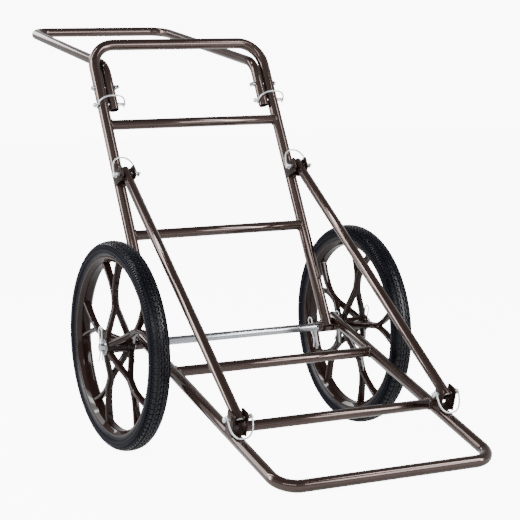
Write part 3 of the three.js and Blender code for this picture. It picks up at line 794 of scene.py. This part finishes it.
def prong_form(side):
    """One of a spoke's two prongs: it leaves the bar at the fork and widens towards the rim."""
    path = smooth_path([vec(0, side * 2, 98), vec(0, side * 2.6, 125), vec(0, side * 12, 152),
                        vec(0, side * 27, 178), vec(0, side * 42, 200), vec(0, side * 46, 206)])
    fork, flare_length = 140, 62
    width, flare = 17, 4
    depth, waist, foot, foot_length = 12.5, 2, 3, 0.2
    n = len(path) - 1
    widths = [width + flare * min(max((p.z - fork) / flare_length, 0), 1) for p in path]
    depths = [depth - waist * math.sin(math.pi * i / n)
              + foot * max(0, i / n - (1 - foot_length)) / foot_length for i in range(n + 1)]
    return rounded_bar(path, widths, depths, Vector((1, 0, 0)))


def leg_form(side):
    """One of a spoke's two legs, which part along the axle to meet the hub's ends."""
    path = smooth_path([vec(side * 1.5, 0, 118), vec(side * 2.2, 0, 96), vec(side * 12, 0, 66),
                        vec(side * 22, 0, 38), vec(side * 28, 0, 15)])
    width, depth, growth = 16, 13, 2
    n = len(path) - 1
    depths = [depth + growth * i / n for i in range(n + 1)]
    return rounded_bar(path, [width] * (n + 1), depths, Vector((0, 1, 0)))


def spoke_mesh():
    """One spoke, filleted by remeshing: two prongs at the rim, one bar, two legs at the hub."""
    parts = [form(side) for side in (-1, 1) for form in (prong_form, leg_form)]
    mesh = bpy.data.meshes.new("spoke_form")
    bm = joined(parts)
    bm.to_mesh(mesh)
    bm.free()
    obj = bpy.data.objects.new("spoke_form", mesh)
    bpy.context.scene.collection.objects.link(obj)
    remesh = obj.modifiers.new("fuse", "REMESH")
    remesh.mode = "VOXEL"
    remesh.voxel_size = 1.6
    soften = obj.modifiers.new("soften", "SMOOTH")
    soften.factor = 0.5
    soften.iterations = 8
    thin = obj.modifiers.new("thin", "DECIMATE")
    thin.ratio = 0.45
    bpy.context.view_layer.update()
    done = bpy.data.meshes.new_from_object(obj.evaluated_get(bpy.context.evaluated_depsgraph_get()))
    part = [v.co.copy() for v in done.vertices], [tuple(p.vertices) for p in done.polygons]
    bpy.data.objects.remove(obj)
    return part


def rim_parts(phase, spoke):
    """The barrel that carries the tyre, the hub, and the spokes between them."""
    rim_half = [(19, 218.7), (19.4, 216.5), (19, 213.6), (18, 212.2), (16, 210.6), (12, 205.4), (10, 204.2),
                (7, 203.9)]
    barrel = turned(mirrored(rim_half), 160, closed=True)
    hub_half = [(HUB_HALF, 13.3), (HUB_HALF, 18.6), (HUB_HALF - 0.8, 19.7), (HUB_HALF - 2, 20), (26, 20),
                (23, 19.2), (19, 16.8), (16, 16)]
    hub = turned(mirrored(hub_half), 64, closed=True)
    spokes = [moved(spoke, Matrix.Rotation(-(phase - math.pi / 2 + 2 * math.pi * i / SPOKES), 4, "X"))
              for i in range(SPOKES)]
    return [barrel, hub, *spokes]


def wheels():
    tread = tyre_parts()
    spoke = spoke_mesh()
    for name, side in SIDES:
        place = AT_AXLE @ Matrix.Translation(vec(side * WHEEL_X, 0, 0))
        body = f"wheel_{name}"
        piece(f"wheel_tyre_{name}", tread, place, body, "tyre", f"tyre_{name}", sharp=28)
        piece(f"wheel_rim_{name}", rim_parts(SPOKE_PHASE[name], spoke), place, body, "rim_plastic",
              f"rim_{name}", sharp=50)
        bush = bar_x(-HUB_HALF, HUB_HALF, BUSH_RADIUS, wall=BUSH_WALL, sides=48, lip=0.6)
        piece(f"wheel_bush_{name}", [bush], place, body, "bush_plastic", f"hub_bush_{name}")


axle()
wheels()


# ---------------------------------------------------------------- stage, light and camera
HORIZON_LIGHT = 0.55
ZENITH_LIGHT = 0.14
FLOOR_LIGHT = 0.3
WORLD_SEEN = 10.0  # the backdrop is lit brighter than the object, as in a white cove
FLOOR_SEEN = 9.4
FLOOR_RADIUS = 60

CAMERA_AZIMUTH = math.radians(-27.824)
CAMERA_ELEVATION = math.radians(4.587)
CAMERA_ROLL = math.radians(-1.931)
CAMERA_OFFSET = Vector((-2.08636, -4.07741, 0.55086))  # metres from the axle's middle
CAMERA_LENS = 128.1
CAMERA_SENSOR = 36


def stage_floor():
    material, nodes, links, shader, place = new_material("pale_floor")
    tone = noise(nodes, links, place, 1.5, 2)
    links.new(ramp(nodes, links, tone, [(0.3, 0.6), (0.7, 0.62)]), shader.inputs["Base Color"])
    shader.inputs["Roughness"].default_value = 0.9
    shader.inputs["Emission Color"].default_value = (1, 1, 1, 1)
    glow = nodes.new("ShaderNodeMapRange")
    glow.inputs["To Min"].default_value = FLOOR_LIGHT
    glow.inputs["To Max"].default_value = FLOOR_SEEN
    links.new(nodes.new("ShaderNodeLightPath").outputs["Is Camera Ray"], glow.inputs["Value"])
    links.new(glow.outputs["Result"], shader.inputs["Emission Strength"])
    mesh = bpy.data.meshes.new("floor")
    bm = bmesh.new()
    bmesh.ops.create_circle(bm, cap_ends=True, radius=FLOOR_RADIUS, segments=96)
    bm.to_mesh(mesh)
    bm.free()
    mesh.materials.append(material)
    floor = bpy.data.objects.new("floor", mesh)
    bpy.context.scene.collection.objects.link(floor)


def soft_light(name, position, size, power, aim=(0, 0, 0.45)):
    light = bpy.data.lights.new(name, "AREA")
    light.shape = "RECTANGLE"
    light.size, light.size_y = size
    light.energy = power
    obj = bpy.data.objects.new(name, light)
    obj.location = position
    obj.rotation_euler = (Vector(aim) - Vector(position)).to_track_quat("-Z", "Y").to_euler()
    bpy.context.scene.collection.objects.link(obj)


def studio():
    """A white cove, pale at the horizon and dark overhead, with soft boxes and narrow bright cores."""
    world = bpy.data.worlds.new("studio")
    world.use_nodes = True
    nodes, links = world.node_tree.nodes, world.node_tree.links
    background = nodes["Background"]
    height = nodes.new("ShaderNodeSeparateXYZ")
    links.new(nodes.new("ShaderNodeTexCoord").outputs["Generated"], height.inputs["Vector"])
    dome = nodes.new("ShaderNodeMapRange")
    dome.interpolation_type = "SMOOTHSTEP"
    dome.inputs["From Min"].default_value = 0.3
    dome.inputs["From Max"].default_value = 0.9
    dome.inputs["To Min"].default_value = HORIZON_LIGHT
    dome.inputs["To Max"].default_value = ZENITH_LIGHT
    links.new(height.outputs["Z"], dome.inputs["Value"])
    seen = nodes.new("ShaderNodeMapRange")
    links.new(dome.outputs["Result"], seen.inputs["To Min"])
    seen.inputs["To Max"].default_value = WORLD_SEEN
    links.new(nodes.new("ShaderNodeLightPath").outputs["Is Camera Ray"], seen.inputs["Value"])
    background.inputs["Color"].default_value = (1, 1, 1, 1)
    links.new(seen.outputs["Result"], background.inputs["Strength"])
    bpy.context.scene.world = world
    soft_light("left_box", (-3.2, 1.4, 2.1), (3.0, 3.2), 130)
    soft_light("right_box", (2.1, -3.0, 1.3), (1.8, 1.2), 52)
    soft_light("front_box", (-1.7, -3.6, 1.9), (3.0, 0.45), 26)
    soft_light("left_core", (-3.1, 0.5, 1.9), (0.36, 3.2), 66)
    soft_light("right_core", (2.3, -2.7, 1.9), (0.4, 3.2), 56)
    soft_light("back_box", (-0.6, 3.6, 2.3), (1.2, 1.2), 26)
    soft_light("high_core", (-1.9, 0.9, 3.4), (0.22, 3.0), 40)


def camera():
    """A long lens from the front left and a little above the axle, with a slight roll."""
    level = math.cos(CAMERA_ELEVATION)
    back = Vector((math.sin(CAMERA_AZIMUTH) * level, -math.cos(CAMERA_AZIMUTH) * level,
                   math.sin(CAMERA_ELEVATION)))
    right = (-back).cross(Vector((0, 0, 1))).normalized()
    up = right.cross(-back)
    x_axis = right * math.cos(CAMERA_ROLL) + up * math.sin(CAMERA_ROLL)
    y_axis = -right * math.sin(CAMERA_ROLL) + up * math.cos(CAMERA_ROLL)
    data = bpy.data.cameras.new("camera")
    data.sensor_width = CAMERA_SENSOR
    data.lens = CAMERA_LENS
    data.clip_end = 200
    obj = bpy.data.objects.new("camera", data)
    turn = Matrix((x_axis, y_axis, back)).transposed().to_4x4()
    obj.matrix_world = Matrix.Translation(AXLE + CAMERA_OFFSET) @ turn
    bpy.context.scene.collection.objects.link(obj)
    bpy.context.scene.camera = obj


stage_floor()
studio()
camera()
